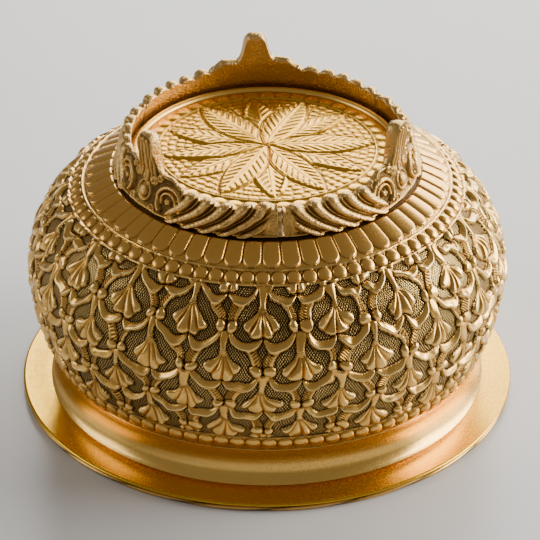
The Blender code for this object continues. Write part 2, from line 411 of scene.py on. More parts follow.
s_low_line, s_high_line = at_height(LINE_LOW[1]), at_height(LINE_HIGH[1])
s_ring, s_end = at_height(0.9720), arc[-1]      # where the foot ring hides the sheet, and its inner edge
ROWS = 292                             # rows of points from the neck to the bottom
s = np.linspace(0.0, s_end, ROWS)
body_r, body_z = np.interp(s, arc, line[:, 0]), np.interp(s, arc, line[:, 1])
slope_r, slope_z = np.gradient(body_r, s), np.gradient(body_z, s)
size = np.hypot(slope_r, slope_z)
out_r, out_z = slope_z / size, -slope_r / size       # outward normal of the plain sheet
angle = np.arange(COLS) * math.tau / COLS
rng = np.random.default_rng(11)


def smooth(edge0, edge1, x):
    """An even step from 0 to 1 between two edges."""
    q = np.clip((x - edge0) / (edge1 - edge0), 0.0, 1.0)
    return q * q * (3 - 2 * q)


class Chasing:
    """Heights pushed up on a sheet, layer over layer, with the punch line round each shape."""

    def __init__(self, shape):
        self.height = np.zeros(shape)
        self.inside = np.zeros(shape)
        self.line = np.zeros(shape)
        self.phase = np.zeros(shape)
        self.strokes = np.zeros(shape)

    def push(self, where, depth, dome, lift, edge=6.0, strokes=0.0, phase=0.0):
        """depth: distance inside the shape's edge in drawing units; dome: its rounding, 0 to 1."""
        top = smooth(0.0, edge, depth)
        raised = lift * dome * top
        over = raised > self.height[where]
        groove = 0.8 * np.exp(-((depth + 1.2) / 2.3) ** 2) * (1 - top)
        self.line[where] = np.maximum(self.line[where] * (1 - top), groove)
        self.height[where] = np.where(over, raised, self.height[where])
        self.inside[where] = np.maximum(self.inside[where], top)
        self.strokes[where] = np.where(over, strokes * top, self.strokes[where])
        self.phase[where] = np.where(over, phase, self.phase[where])


def distance_to(path, x, y):
    """Distance from an open path."""
    best = np.full(x.shape, 1e9)
    for (ax, ay), (bx, by) in zip(path[:-1], path[1:]):
        dx, dy = bx - ax, by - ay
        t = np.clip(((x - ax) * dx + (y - ay) * dy) / (dx * dx + dy * dy + 1e-9), 0, 1)
        best = np.minimum(best, np.hypot(x - ax - t * dx, y - ay - t * dy))
    return best


def inside_of(path, x, y):
    """Distance inside a closed outline; negative outside it."""
    best = distance_to(np.vstack([path, path[:1]]), x, y)
    odd = np.zeros(x.shape, bool)
    for (ax, ay), (bx, by) in zip(path, np.roll(path, -1, 0)):
        if ay != by:
            odd ^= ((ay > y) != (by > y)) & (x < (bx - ax) * (y - ay) / (by - ay) + ax)
    return np.where(odd, best, -best)


# One repeat of the drawing holds two half-drop blossoms. Each shape is outlined on its right
# half only, from the blossom's collar (0, 0), with y running down towards the rim.
UNITS_ROUND = 6828.0                   # drawing units once round
CELL, DROP = UNITS_ROUND / FANS, 194.0
NU, NP = 342, 388                      # points across and down one repeat of the drawing
draft = Chasing((NP, NU))
draft_u, draft_p = np.meshgrid(np.arange(NU) * CELL / NU, np.arange(float(NP)))
bell = flowing([(0, -4), (16, -2), (19, 8), (27, 21), (42, 34), (62, 46), (80, 58), (87, 70), (85, 84),
                (75, 95), (61, 103), (55, 111), (51, 123), (39, 132), (22, 134), (8, 131), (0, 126)], 70)
bell = np.vstack([bell, bell[::-1] * (-1, 1)])
petal_cuts = [np.array([(0, 16), (0, 124)]), flowing([(8, 12), (20, 46), (38, 80), (56, 109)], 8)]
stem = flowing([(0, -98), (27, -96), (25, -76), (19, -50), (15, -28), (15, -6), (16, 2), (0, 3)], 30)
stem = np.vstack([stem, stem[::-1] * (-1, 1)])
sickle_top = flowing([(2, 131), (12, 133), (32, 139), (60, 143), (90, 136), (114, 122), (132, 106), (141, 92),
                      (147, 78)], 30)
sickle_low = flowing([(2, 148), (11, 164), (28, 184), (50, 193), (78, 187), (108, 175), (130, 160),
                      (143, 144), (151, 122), (154, 100), (153, 78)], 34)
arm_out = flowing([(90, -24), (75, -5), (61, 9), (52, 27), (47, 44), (45, 64)], 18)
BALL = 27.5                            # radius of the punched balls
arm_in = flowing([(24, -16), (17, 2), (9, 18), (4, 34), (3, 64)], 16)


def spot(ox, oy, low_x, high_x, low_y, high_y):
    """Points of the draft near (ox, oy), with their own coordinates folded to the right half."""
    x = (draft_u - ox + CELL / 2) % CELL - CELL / 2
    y = (draft_p - oy + 120.0) % NP - 120.0
    where = np.where((np.abs(x) > low_x) & (np.abs(x) < high_x) & (y > low_y) & (y < high_y))
    return where, x[where], y[where]


for ox, oy in ((0.0, 0.0), (CELL / 2, DROP)):
    # feathered arms that curl down on to the two balls, with a smooth rim along the outside
    where, x, y = spot(ox + CELL / 2, oy, -1, 100, -40, 80)
    x = np.abs(x)
    out_d, in_d = distance_to(arm_out, x, y), distance_to(arm_in, x, y)
    t = out_d / (out_d + in_d)
    rim = np.exp(-((t - 0.17) / 0.12) ** 2)
    feather = smooth(0.30, 0.38, t) * (1 - smooth(0.88, 0.97, t))
    draft.push(where, inside_of(np.vstack([arm_out, arm_in[::-1]]), x, y), 0.80 - 0.30 * t + 0.42 * rim, 1.15,
               strokes=feather, phase=(x - y) / 16.5)
    # stem from between the balls down to the collar
    where, x, y = spot(ox, oy, -1, 34, -106, 14)
    draft.push(where, inside_of(stem, x, y), 1 - 0.62 * (x / 24.0) ** 2, 1.20)
    # broad sickle leaves that meet in a point below the blossom
    where, x, y = spot(ox, oy, -1, 162, 68, 202)
    x = np.abs(x)
    up_d, low_d = distance_to(sickle_top, x, y), distance_to(sickle_low, x, y)
    t = up_d / (up_d + low_d)
    fall = np.cos(math.pi / 2 * (t - 0.66) / 0.34 * 0.85)
    fold = np.where(t < 0.66, 0.28 + 0.72 * (t / 0.66) ** 1.25, fall)
    draft.push(where, inside_of(np.vstack([sickle_top, sickle_low[::-1]]), x, y),
               fold * np.clip((up_d + low_d) / 44.0, 0.45, 1.0) ** 0.7, 1.95)
    draft.line[where] = np.maximum(draft.line[where], 0.8 * np.exp(-(up_d / 2.6) ** 2) * (y > 120))
    # the two punched balls
    where, x, y = spot(ox + CELL / 2, oy, -1, 60, 48, 112)
    rho = np.hypot((np.abs(x) - 29.0) / BALL, (y - 80.0) / BALL)
    draft.push(where, (1 - rho) * 27.0, np.sqrt(np.clip(1 - rho ** 2.1, 0, 1)), 1.75, edge=3.0)
    draft.line[where] = np.maximum(draft.line[where], 0.95 * np.exp(-((rho - 1.04) * 27.0 / 2.8) ** 2))
    # bell blossom of four petals, and its two-line collar
    where, x, y = spot(ox, oy, -1, 98, -14, 146)
    cut = np.minimum(distance_to(petal_cuts[0], x, y), distance_to(petal_cuts[1], np.abs(x), y))
    depth = inside_of(bell, x, y)
    swell = 0.40 + 0.60 * smooth(5.0, 95.0, np.hypot(x, y))
    rounded = 0.55 + 0.45 * (1 - np.exp(-np.maximum(depth, 0) / 10.0))
    petal = (1 - 0.62 * np.exp(-(cut / 6.5) ** 1.5)) * rounded
    draft.push(where, depth, swell * petal * (0.90 + 0.10 * np.minimum(cut, 14.0) / 14.0), 1.85)
    draft.line[where] = np.maximum(draft.line[where], 0.9 * np.exp(-(cut / 2.4) ** 2) * (depth > 4.0))
    for low, high in ((-9.0, -3.0), (1.0, 7.0)):
        depth = np.minimum(19.5 - np.abs(x), np.minimum(y - low, high - y))
        draft.push(where, depth, np.ones(x.shape), 1.30, edge=2.5)


def softened(values, radius):
    """Even a repeating sheet of values over a small radius."""
    ky = np.fft.fftfreq(values.shape[0])[:, None]
    kx = np.fft.rfftfreq(values.shape[1])[None, :]
    fade = np.exp(-2 * (math.pi * radius) ** 2 * (kx ** 2 + ky ** 2))
    return np.fft.irfft2(np.fft.rfft2(values) * fade, s=values.shape)


# lay the drawing round the bowl, with the small wanderings of handwork
sheet = Chasing((ROWS, COLS))
drawing_y = (s_low_line - s) / UNIT + 88.0
p_row = np.interp(drawing_y, [-200.0, -4.0, 190.0, 390.0, 575.0, 732.0, 838.0, 1000.0],
                  [-196.0, 0.0, 194.0, 388.0, 582.0, 776.0, 904.0, 1066.0])
u_all = angle * UNITS_ROUND / math.tau
turn_grid, p_grid = np.meshgrid(angle, p_row)
shift = np.zeros((3,) + turn_grid.shape)
for axis, reach in ((0, 2.6), (1, 2.4), (2, 0.045)):
    for wave in range(9):
        slant = rng.integers(9, 75) * turn_grid + p_grid / rng.uniform(28, 75)
        shift[axis] += reach * np.sin(slant + rng.uniform(0, 6.28))
lay_u = (u_all[None, :] - FIRST_FAN * UNITS_ROUND / math.tau + shift[0]) / CELL * NU
lay_p = p_grid + shift[1]
u0, p0 = np.floor(lay_u).astype(int), np.floor(lay_p).astype(int)
fu, fp = lay_u - u0, lay_p - p0


def laid(values):
    """A value of the draft at every point of the sheet."""
    a, b, c, d = (values[(p0 + j) % NP, (u0 + i) % NU] for j in (0, 1) for i in (0, 1))
    return (a * (1 - fu) + b * fu) * (1 - fp) + (c * (1 - fu) + d * fu) * fp


field = (smooth(84.0, 90.0, drawing_y) * (1 - smooth(836.0, 842.0, drawing_y)))[:, None]
sheet.height = laid(softened(draft.height, 2.1)) * (1 + shift[2]) * field
sheet.inside = laid(softened(draft.inside, 1.0)) * field
sheet.line = laid(softened(draft.line, 1.0)) * field
sheet.strokes = laid(softened(draft.strokes, 1.0)) * field
sheet.phase = laid(draft.phase) * field

# the row of discs between two wires, and the beaded edge at the neck
DISCS, BEADS, FLUTES = 80, 90, 58
grid_s, grid_a = np.meshgrid(s, angle, indexing="ij")


def round_band(count, s_mid, half_s, half_u, lift, start, flat, spread):
    """A row of like bosses round the bowl, each a little different."""
    step = math.tau / count
    which = np.floor((grid_a - start) / step).astype(int) % count
    jig = rng.normal(0.0, 1.0, (3, count))
    x = ((grid_a - start) / step % 1.0 - 0.5) * step * UNITS_ROUND / math.tau - spread * jig[0][which]
    y = (grid_s - s_mid) / UNIT - 0.8 * spread * jig[1][which]
    rho = np.hypot(x / half_u, y / half_s) / (1 + 0.02 * jig[2][which])
    band = np.abs(grid_s - s_mid) / UNIT < half_s + 8.0
    where = np.where(band & (rho < 1.35))
    q = rho[where]
    dome = 0.45 * np.clip(1 - q ** 2, 0, 1) + 0.55 * np.clip(1 - q ** 2, 0, 1) ** flat
    sheet.push(where, (1 - q) * half_u, dome, lift, edge=3.5)
    groove = np.exp(-((q - 1.06) * half_u / 3.6) ** 2)
    sheet.line[where] = np.maximum(sheet.line[where], 0.9 * groove)


s_discs = (s_low_line + s_high_line) / 2
round_band(DISCS, s_discs, 34.5, 40.5, 1.05, math.radians(1.0), 0.34, 0.9)
round_band(BEADS, 0.0395, 36.0, 36.5, 1.15, math.radians(0.5), 0.40, 1.4)
wires = ((s_low_line, 6.5, 0.95), (s_high_line, 5.5, 1.0), (0.0800, 3.5, 0.6), (0.0015, 3.0, 0.5))
for s_wire, half, lift in wires:
    where = np.where(np.abs(grid_s - s_wire) / UNIT < half + 7.0)
    wander = 1.1 * np.sin(7 * grid_a[where] + s_wire * 90) + 0.7 * np.sin(17 * grid_a[where])
    t = ((grid_s[where] - s_wire) / UNIT + wander) / half
    sheet.push(where, (1 - np.abs(t)) * half, np.clip(1 - t ** 2, 0, 1) ** 0.5, lift, edge=2.5)

# gadroons: round-ended flutes over the shoulder, the last of them cut short
step = math.tau / FLUTES
jig = rng.normal(0.0, 1.0, (2, FLUTES))
bounds_at = math.radians(274.6) + (np.arange(FLUTES) + 0.035 * jig[1]) * step
count_at = np.interp((grid_a - bounds_at[0]) % math.tau, np.append(bounds_at - bounds_at[0], math.tau),
                     np.arange(FLUTES + 1.0))
which = np.floor(count_at).astype(int) % FLUTES
x = (count_at % 1.0 - 0.5) * 2.0
TOE = 0.038                            # length of a gadroon's rounded end
s_toe = s_high_line + 0.0105 + 0.0020 * jig[0][which]
from_toe = (grid_s - s_toe) / TOE
toe = np.where(from_toe < 1.0, np.sqrt(np.clip(1 - (1 - np.clip(from_toe, 0, 1)) ** 2, 0, 1)), 1.0)
half = 0.985 * np.maximum(toe, 1e-3)
t = np.abs(x) / half
width = step * np.interp(grid_s, s, body_r) / 2 / UNIT
depth = np.minimum((half - np.abs(x)) * width, from_toe * TOE / UNIT)
where = np.where(grid_s > s_high_line + 0.007)
dome = np.clip(1 - 0.30 * t[where] ** 2 - 0.45 * t[where] ** 8, 0, 1)
sheet.push(where, depth[where], dome, 0.95, edge=5.0)

ring_fade = 1.0 - smooth(s_ring - 0.018, s_ring - 0.004, grid_s)
mat = (1 - smooth(0.05, 0.6, sheet.inside)) * (grid_s < s_low_line) * (grid_s > 0.078)
lift_mm = sheet.height - 0.30 * sheet.line * (1 - 0.3 * sheet.inside)
lift_mm = lift_mm * ring_fade


def blurred(values, radius):
    """The sheet's mean height around each point, for a sheet that has a top and a bottom edge."""
    pad = 40
    return softened(np.pad(values, ((pad, pad), (0, 0)), mode="edge"), radius)[pad:-pad]


hollow = blurred(lift_mm, 3.0) - lift_mm
recess = np.clip(hollow * 1.2, 0, 1) * 0.30 + 0.85 * sheet.line + 0.17 * mat
# painted shade: a dark band on the sheet just above the foot ring, standing for the shade in the crevice
# where the ring meets the body
recess = np.clip(recess + 0.9 * smooth(s_ring - 0.016, s_ring - 0.006, grid_s), 0, 1)
worn = np.clip(-hollow * 1.5, 0, 1) * smooth(0.4, 1.1, lift_mm)

# the whole outer face, and its true normals, so that the stretches meet without a line
d = lift_mm * 0.001
full = np.empty((ROWS, COLS, 3))
out_to = body_r[:, None] * R + out_r[:, None] * d
full[..., 0] = out_to * np.cos(angle)
full[..., 1] = out_to * np.sin(angle)
full[..., 2] = body_z[:, None] * R + out_z[:, None] * d
around = np.roll(full, -1, axis=1) - np.roll(full, 1, axis=1)
up = np.gradient(full, axis=0)
true_normal = np.cross(around, up)
true_normal /= np.linalg.norm(true_normal, axis=2, keepdims=True)


def rolled(name, place, marks, ring=False, poles=False):
    """Roll a flat grid into a closed strip: place is columns x section points, marks are kept on the points.

    The open ends of a strip are filled flat; a ring is merged end to end instead.
    """
    columns, points = place.shape[:2]
    nx, ny = columns + (1 if ring else 0), points + (0 if poles else 1)
    bpy.ops.object.select_all(action="DESELECT")
    bpy.ops.mesh.primitive_grid_add(x_subdivisions=nx - 1, y_subdivisions=ny - 1, size=1.0)
    made = bpy.context.object
    made.name = name
    made.data.name = name
    ix, iy = np.arange(nx) % columns, np.arange(ny) % points
    me = made.data
    assert len(me.vertices) == nx * ny, (len(me.vertices), nx, ny)
    me.vertices.foreach_set("co", place[ix][:, iy].transpose(1, 0, 2).astype(np.float32).ravel())
    for key, value in marks.items():
        vector = value.ndim == 3
        attribute = me.attributes.new(key, "FLOAT_VECTOR" if vector else "FLOAT", "POINT")
        data = value[ix][:, iy]
        data = data.transpose(1, 0, 2) if vector else data.T
        attribute.data.foreach_set("vector" if vector else "value", data.astype(np.float32).ravel())
    while me.uv_layers:
        me.uv_layers.remove(me.uv_layers[0])
    bpy.ops.object.mode_set(mode="EDIT")
    bpy.ops.mesh.select_all(action="SELECT")
    bpy.ops.mesh.remove_doubles(threshold=1e-6)
    if not ring:
        bpy.ops.mesh.select_mode(type="EDGE")
        bpy.ops.mesh.select_all(action="DESELECT")
        bpy.ops.mesh.select_non_manifold(extend=False, use_wire=False, use_boundary=True,
                                         use_multi_face=False, use_non_contiguous=False, use_verts=False)
        bpy.ops.mesh.edge_face_add()
        bpy.ops.mesh.select_mode(type="VERT")
    bpy.ops.mesh.select_all(action="SELECT")
    bpy.ops.mesh.normals_make_consistent(inside=False)
    bpy.ops.object.mode_set(mode="OBJECT")
    bpy.ops.object.shade_smooth()
    return made


# the matting punch and the feather strokes, as a height: crossed rows of small marks on the ground
matting = bpy.data.node_groups.new("punched_ground", "ShaderNodeTree")
own(matting, "Drawing", "NodeSocketVector")
own(matting, "Ground", "NodeSocketFloat", 0.0)
own(matting, "Stroke count", "NodeSocketFloat", 0.0)
own(matting, "Strokes", "NodeSocketFloat", 0.0)
own(matting, "Height", "NodeSocketFloat", out=True)
own(matting, "Dark", "NodeSocketFloat", out=True)
own(matting, "Studs", "NodeSocketFloat", out=True)
given = node(matting, "NodeGroupInput", -1200, 0)
result = node(matting, "NodeGroupOutput", 800, 0)
stray = noise(matting, -1000, -250, 180.0, 2.0)
shove = node(matting, "ShaderNodeVectorMath", -820, -100, operation="MULTIPLY_ADD")
matting.links.new(stray.outputs["Color"], shove.inputs[0])
shove.inputs[1].default_value = (2.0, 2.0, 0.0)
matting.links.new(given.outputs["Drawing"], shove.inputs[2])
parts = node(matting, "ShaderNodeSeparateXYZ", -650, -100)
matting.links.new(shove.outputs[0], parts.inputs[0])


def ripples(count, y):
    """Waves from 0 to 1, one for each whole step of count."""
    wave = sum_of(matting, -320, y, "SINE", sum_of(matting, -400, y, "MULTIPLY", count, math.tau))
    return sum_of(matting, -240, y, "MULTIPLY_ADD", wave, 0.5, 0.5)


def gaps(marks, place, y):
    """The dark between marks, where they are in place."""
    between = sum_of(matting, 100, y, "SUBTRACT", 1.0, marks)
    return sum_of(matting, 200, y, "MULTIPLY", between, given.outputs[place])


one_way = sum_of(matting, -480, 0, "MULTIPLY_ADD", parts.outputs[1], 0.62, parts.outputs[0])
other_way = sum_of(matting, -480, -180, "MULTIPLY_ADD", parts.outputs[1], -0.62, parts.outputs[0])
one_way, other_way = ripples(one_way, 0), ripples(other_way, -180)
studs = sum_of(matting, -120, -80, "MULTIPLY", one_way, other_way)
studs = sum_of(matting, 0, -80, "SMOOTH_MIN", sum_of(matting, -50, -80, "MULTIPLY", studs, 2.4), 1.0, 0.3)
cuts = ripples(given.outputs["Stroke count"], -350)
ground_part = sum_of(matting, 200, 0, "MULTIPLY", studs, given.outputs["Ground"])
stroke_part = sum_of(matting, 200, -350, "MULTIPLY", cuts, given.outputs["Strokes"])
tall = sum_of(matting, 400, 0, "MULTIPLY_ADD", stroke_part, 1.1, ground_part)
matting.links.new(tall, result.inputs["Height"])
matting.links.new(ground_part, result.inputs["Studs"])
dark = sum_of(matting, 500, -250, "MULTIPLY_ADD", gaps(cuts, "Strokes", -500), 0.85,
              gaps(studs, "Ground", -200))
matting.links.new(dark, result.inputs["Dark"])

chased, tree, shader = brass("chased_brass")
marks_at = {}
for i, key in enumerate(("recess", "worn", "ground", "strokes", "phase", "drawing")):
    mark = node(tree, "ShaderNodeAttribute", -1100, 400 - 190 * i, attribute_name=key)
    marks_at[key] = mark.outputs["Vector" if key == "drawing" else "Fac"]
punched = use_group(tree, matting, -750, -200)
for key, socket in (("drawing", "Drawing"), ("ground", "Ground"), ("strokes", "Strokes"),
                    ("phase", "Stroke count")):
    tree.links.new(marks_at[key], punched.inputs[socket])
# the tarnish colour here also paints the shade along the foot ring
coat = coated(tree, shader, brass_colour=(0.90, 0.51, 0.125, 1.0), tarnish=(0.050, 0.024, 0.007, 1.0),
              bright=(1.0, 0.71, 0.27, 1.0), gloss=0.25, mottle=22.0)
low = sum_of(tree, -400, 100, "MULTIPLY_ADD", punched.outputs["Dark"], 0.92, marks_at["recess"])
tree.links.new(low, coat.inputs["Recess"])
top = sum_of(tree, -400, 250, "ADD", punched.outputs["Studs"], marks_at["worn"], clamp=True)
tree.links.new(top, coat.inputs["Worn"])
hammer = noise(tree, -750, -700, 420.0, 3.0)
tall = sum_of(tree, 0, -350, "MULTIPLY_ADD", hammer.outputs["Fac"], 0.07, punched.outputs["Height"])
raised(tree, shader, tall, 0.9, 0.00045)

# the plain inner wall follows the sheet, and eight stretches make the whole body
inner_s = np.linspace(s_end, 0.0, 18)
inner_r = np.interp(inner_s, s, body_r) * R - np.interp(inner_s, s, out_r) * WALL
inner_z = np.interp(inner_s, s, body_z) * R - np.interp(inner_s, s, out_z) * WALL
inner_z[-1] = body_z[0] * R
per = COLS // SECTORS
for k in range(SECTORS):
    cols = np.arange(per + 1) + k * per
    wrap = cols % COLS
    turn = cols * math.tau / COLS
    outer = full[:, wrap].transpose(1, 0, 2)
    inner = np.stack([np.outer(np.cos(turn), inner_r), np.outer(np.sin(turn), inner_r),
                      np.repeat(inner_z[None, :], len(cols), 0)], axis=2)
    place = np.concatenate([outer, inner], axis=1)

    def kept(values, inside_value):
        """A mark for this stretch: the sheet's values outside, one value inside."""
        return np.concatenate([values[:, wrap].T, np.full((len(cols), len(inner_s)), inside_value)], axis=1)

    draw = np.zeros((len(cols), ROWS + len(inner_s), 3))
    draw[:, :ROWS, 0] = (cols * 560.0 / COLS)[:, None]
    draw[:, :ROWS, 1] = (drawing_y / 12.2)[None, :]
    edge = np.zeros((len(cols), ROWS + len(inner_s), 3))
    for side in (0, -1):
        edge[side, :ROWS] = true_normal[:, wrap[side]]
    part = rolled("chased_body_%d" % (k + 1), place,
                  {"recess": kept(recess, 0.10), "worn": kept(worn, 0.1), "ground": kept(mat, 0.0),
                   "strokes": kept(sheet.strokes * (1 - mat), 0.0), "phase": kept(sheet.phase, 0.0),
                   "drawing": draw, "join": edge})
    me = part.data
    normals = np.empty(len(me.vertices) * 3, dtype=np.float32)
    me.attributes["join"].data.foreach_get("vector", normals)
    me.normals_split_custom_set_from_vertices(normals.reshape(-1, 3).tolist())
    me.attributes.remove(me.attributes["join"])
    me.materials.append(chased)
    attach(part, "root")
    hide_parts("bowl_shell")

# ---- Medallion that closes the bottom of the bowl ----
# A disc of softer, paler brass embossed with twelve pointed leaves on a scaled ground,
# dropped into the open bottom and held by the border wire soldered over its edge.
DISC_Z = 1.042 * R
disc_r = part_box("base_medallion")[1][0] / R
turns, rings = 720, 126                # points round the disc, and from its middle to its edge
q = np.linspace(0.0, 1.0, rings) * disc_r
a = np.arange(turns) * math.tau / turns
A, Q = np.meshgrid(a, q, indexing="ij")
flat_x, flat_y = Q * np.cos(A), Q * np.sin(A)
# ground: scales in rings, each tucked under the next
SCALE_RING, SCALE_WIDE = 0.0330, 0.040
wavy = (Q + 0.0035 * np.sin(5 * A + 2) * np.sin(11 * A)) / SCALE_RING
scale_no = np.floor(wavy)
count = np.maximum(np.round(math.tau * (scale_no + 0.5) * SCALE_RING / SCALE_WIDE), 3)
sa = (A / math.tau * count + 0.5 * (scale_no % 2) + 0.16 * np.sin(7 * A + 1.7 * scale_no)) % 1.0 - 0.5
far = np.hypot(sa * 1.9, (wavy - scale_no - 0.5 + 0.10) * 1.75)
relief = np.where(Q < 0.430, 0.34 * np.clip(1 - far ** 2, 0, 1) ** 0.8, 0.0)
vein_dark = np.where(Q < 0.430, smooth(0.72, 1.0, far) * 0.38, 0.0)
# edge row of domed scales outside the thin inner wire
EDGE_SCALES = 46
sa = (A / math.tau * EDGE_SCALES) % 1.0 - 0.5
far = np.hypot(sa * 2.05, (Q - 0.4625) / 0.0265)
out_part = Q > 0.434
relief = np.where(out_part, 0.50 * np.clip(1 - far ** 2, 0, 1) ** 0.5, relief)
vein_dark = np.where(out_part, smooth(0.75, 1.05, far) * 0.42, vein_dark)
wire = np.abs(Q - 0.431) / 0.0045
relief = np.maximum(relief, 0.62 * np.sqrt(np.clip(1 - wire ** 2, 0, 1)))
# leaves: (direction in degrees, length, half width, bend, layer, curled sides)
leaves = [(-29, 0.430, 0.060, 0.10, 0, "r"), (-85.5, 0.432, 0.070, -0.02, 0, "lr"),
          (-142, 0.425, 0.066, 0.06, 0, ""), (161, 0.410, 0.060, 0.10, 0, "l"),
          (97.5, 0.415, 0.070, -0.08, 0, "l"), (40, 0.430, 0.062, 0.06, 0, "r"),
          (3.6, 0.432, 0.076, -0.05, 1, ""), (-58, 0.428, 0.070, -0.07, 1, ""),
          (-114, 0.430, 0.070, 0.10, 1, ""), (-168, 0.416, 0.058, 0.06, 1, "l"),
          (128, 0.425, 0.078, 0.04, 1, ""), (68, 0.408, 0.080, 0.10, 1, "")]
HEART_X, HEART_Y = -0.004, 0.018       # where the leaves meet, a little off the middle
for direction, length, half_w, bend, layer, curls in leaves:
    th = math.radians(direction)
    x, y = flat_x - HEART_X, flat_y - HEART_Y
    la = x * math.cos(th) + y * math.sin(th)
    lb = -x * math.sin(th) + y * math.cos(th)
    f = np.clip(la / length, 0, 1)
    lb = lb - bend * length * (f - f ** 2) * 0.9
    w = half_w * (np.sin(math.pi * f ** 0.92) ** 0.80) * (0.80 + 0.35 * f)
    w = np.where((la > 0) & (la < length), w, 0.0)
    depth = w - np.abs(lb)
    body = smooth(0.0, 0.0075, depth)
    t = np.clip(np.abs(lb) / np.maximum(w, 1e-4), 0, 1)
    pillow = 0.62 + 0.38 * np.sin(math.pi * t ** 0.85)
    rib = np.exp(-(lb / 0.0040) ** 2) * smooth(0.0, 0.10, f) * (1 - f * 0.4)
    # veins lean towards the tip, cut in as short strokes from near the rib
    row = (la - np.abs(lb) * 1.15) / 0.0385
    stroke = np.exp(-((row % 1.0 - 0.5) / 0.20) ** 2) * smooth(0.14, 0.26, t) * (1 - smooth(0.70, 0.95, t))
    stroke = stroke * smooth(0.10, 0.2, f)
    lift = (0.95 if layer else 0.68) * (0.55 + 0.45 * np.sin(math.pi * np.clip(f, 0, 1) ** 0.7))
    high = body * (lift * pillow + 0.36 * rib) - 0.25 * stroke * body + body * 0.12
    for side in curls:
        sign = 1.0 if side == "l" else -1.0
        along = smooth(0.45, 0.62, f) * (1 - smooth(0.86, 0.98, f))
        lip = np.exp(-((sign * lb - w * 0.92) / 0.010) ** 2) * along
        high = high + 0.75 * lip
        body = np.maximum(body, smooth(0.25, 0.6, lip))
    moat = np.exp(-((depth + 0.004) / 0.0042) ** 2) * (w > 0.004)
    take = body > 0.02
    relief = np.where(take, np.maximum(high, relief * (1 - body)), relief * (1 - 0.75 * moat))
    on_leaf = 0.36 * stroke * body + 0.15 * (1 - t) * rib
    vein_dark = np.where(take, on_leaf, np.maximum(vein_dark, 0.75 * moat))
relief = relief * (1 - smooth(disc_r - 0.004, disc_r, Q))
relief = relief - 0.18 * vein_dark
crown = 0.35 * (1 - (Q / disc_r) ** 2)
top = np.stack([flat_x * R, flat_y * R, DISC_Z + (relief + crown) * 0.001], axis=2)
lower_q = disc_r * np.array([1.0, 0.999, 0.9, 0.6, 0.3, 0.0])
lower_z = DISC_Z - np.array([0.0008, 0.0018, 0.0018, 0.0018, 0.0018, 0.0018])
low_part = np.stack([np.outer(np.cos(a), lower_q) * R, np.outer(np.sin(a), lower_q) * R,
                     np.repeat(lower_z[None, :], turns, 0)], axis=2)
hollow = blurred(relief.T, 2.0).T - relief
dark = np.clip(vein_dark * 0.85 + np.clip(hollow * 1.3, 0, 1), 0, 1)
bright = np.clip(-hollow * 2.0, 0, 1)
pad_low = np.zeros((turns, len(lower_q)))
medallion = rolled("base_medallion_embossed", np.concatenate([top, low_part], axis=1),
                   {"recess": np.concatenate([dark, pad_low + 0.1], axis=1),
                    "worn": np.concatenate([bright, pad_low], axis=1)}, ring=True, poles=True)


def grained(name, brass_colour, tarnish, bright, gloss, mottle, recess_gain, fineness, grain, distance):
    """Metal that reads its own recess and worn marks, with a fine surface grain."""
    made, tree, shader = brass(name)
    low_mark = node(tree, "ShaderNodeAttribute", -800, 200, attribute_name="recess")
    top_mark = node(tree, "ShaderNodeAttribute", -800, 0, attribute_name="worn")
    coat = coated(tree, shader, brass_colour, tarnish, bright, gloss, mottle)
    low = sum_of(tree, -500, 200, "MULTIPLY", low_mark.outputs["Fac"], recess_gain)
    tree.links.new(low, coat.inputs["Recess"])
    tree.links.new(top_mark.outputs["Fac"], coat.inputs["Worn"])
    raised(tree, shader, noise(tree, -750, -400, fineness, 4.0).outputs["Fac"], grain, distance)
    return made


medallion_brass = grained("medallion_brass", brass_colour=(0.83, 0.445, 0.040, 1.0),
                          tarnish=(0.21, 0.083, 0.010, 1.0), bright=(1.0, 0.68, 0.14, 1.0), gloss=0.28,
                          mottle=16.0, recess_gain=0.9, fineness=700.0, grain=0.25, distance=0.0002)
medallion.data.materials.append(medallion_brass)
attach(medallion, "root")
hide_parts("base_medallion")

# ---- Border wire round the medallion ----
# Plain half-round brass wire, bent to a ring and soldered over the edge of the
# medallion, then rubbed bright.
BORDER_R, BORDER_Z = 0.5160, 1.0350    # middle of the wire's flat side
arch = [(BORDER_R + 0.0162 * math.cos(v), BORDER_Z + 0.0175 * math.sin(v))
        for v in np.linspace(0, math.pi, 28)]
border = turned("medallion_border_wire", (np.array(arch) * R).tolist(), 256)
satin_border = polished("satin_border", brass_colour=(0.90, 0.54, 0.12, 1.0),
                        bright=(1.0, 0.76, 0.28, 1.0), gloss=0.30, fineness=1500.0, rings=0.10, streaks=0.5)
border.data.materials.append(satin_border)
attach(border, "root")
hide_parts("medallion_border")

# ---- Foot ring: three sand-cast segments, each with its foot ----
# Cast in antique-coloured brass and left rough inside; outside they carry a scroll and
# cabochon under each foot and swirling lobes that run on to the solder joints.
FOOT_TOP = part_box("foot_segment_rear")[1][2] / R
BASE_Q, EDGE_Q = (0.600, 0.9785), (0.563, 1.118)   # outer face: base line and mean upper edge
HALF = 60.0 - 0.9                      # degrees from a foot to its solder seam
LOBE, FIRST_LOBE = 7.4, 24.5           # degrees between lobes, and from the foot to the first
REAR_RISE = 0.0257                     # the rear edge stands higher by this, the front edge lower
EDGE_ROUND = 0.0075                    # height of the rounded edge
CAST_WALL = 0.0033


